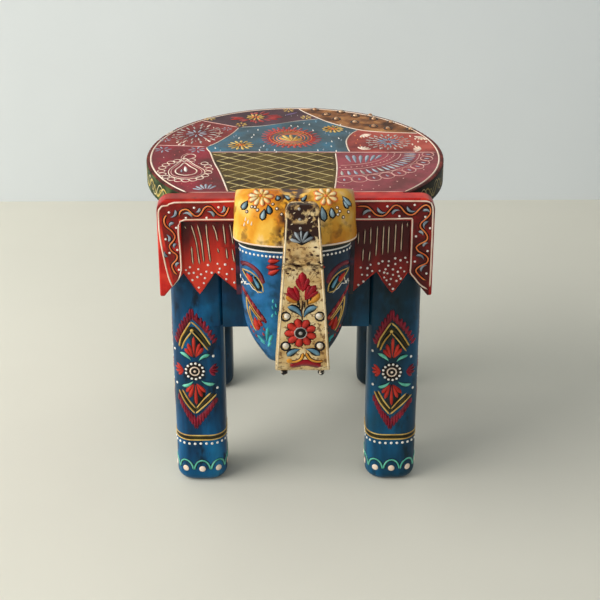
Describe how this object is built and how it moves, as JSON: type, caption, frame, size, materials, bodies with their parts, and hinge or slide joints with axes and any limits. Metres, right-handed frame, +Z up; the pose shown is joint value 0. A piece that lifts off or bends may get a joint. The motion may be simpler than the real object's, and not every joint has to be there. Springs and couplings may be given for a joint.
{
  "type": "elephant-shaped low table",
  "caption": "Low painted wooden table shaped as an elephant, with a round top, carved cloth, four legs, head and raised trunk.",
  "frame": {"origin": "on the floor, under the middle of the overall box", "axes": "+X to the right of someone facing the head, +Y from head to tail, +Z up"},
  "size_m": [0.285, 0.3359, 0.324],
  "materials": {
    "seat_paint": "lacquered paint in maroon, slate blue, olive and copper patches with raised line ornament",
    "cloth_paint": "glossy bright and dark red paint with raised cream and orange ornament",
    "body_paint": "glossy mottled blue paint with raised ornament",
    "head_paint": "glossy ochre and blue paint, antiqued, with raised ornament",
    "trunk_paint": "ivory paint with brown crackle",
    "stud_brass": "copper-tinted domed heads",
    "stud_enamel": "cream enamelled domed heads",
    "bare_wood": "unpainted mango wood",
    "screw_steel": "zinc-plated wood screws"
  },
  "bodies": {
    "root": {"seat_top": "seat_paint", "top_studs": "stud_brass", "front_valance": "cloth_paint", "back_valance": "cloth_paint", "left_flap": "cloth_paint", "right_flap": "cloth_paint", "chest_board": "body_paint", "rump_board": "body_paint", "left_flank": "body_paint", "right_flank": "body_paint", "front_batten": "bare_wood", "back_batten": "bare_wood", "leg_front_left": "body_paint", "leg_front_right": "body_paint", "leg_back_left": "body_paint", "leg_back_right": "body_paint", "head_block": "head_paint", "ear_left": "head_paint", "ear_right": "head_paint", "trunk": "trunk_paint", "trunk_studs": "stud_enamel", "tail": "body_paint", "frame_dowels": "bare_wood", "head_dowels": "bare_wood", "trunk_dowels": "bare_wood", "ear_pegs": "bare_wood", "tail_pegs": "bare_wood", "seat_screws": "screw_steel", "flap_screws": "screw_steel", "valance_screws": "screw_steel", "head_screws": "screw_steel"}
  },
  "joints": []
}
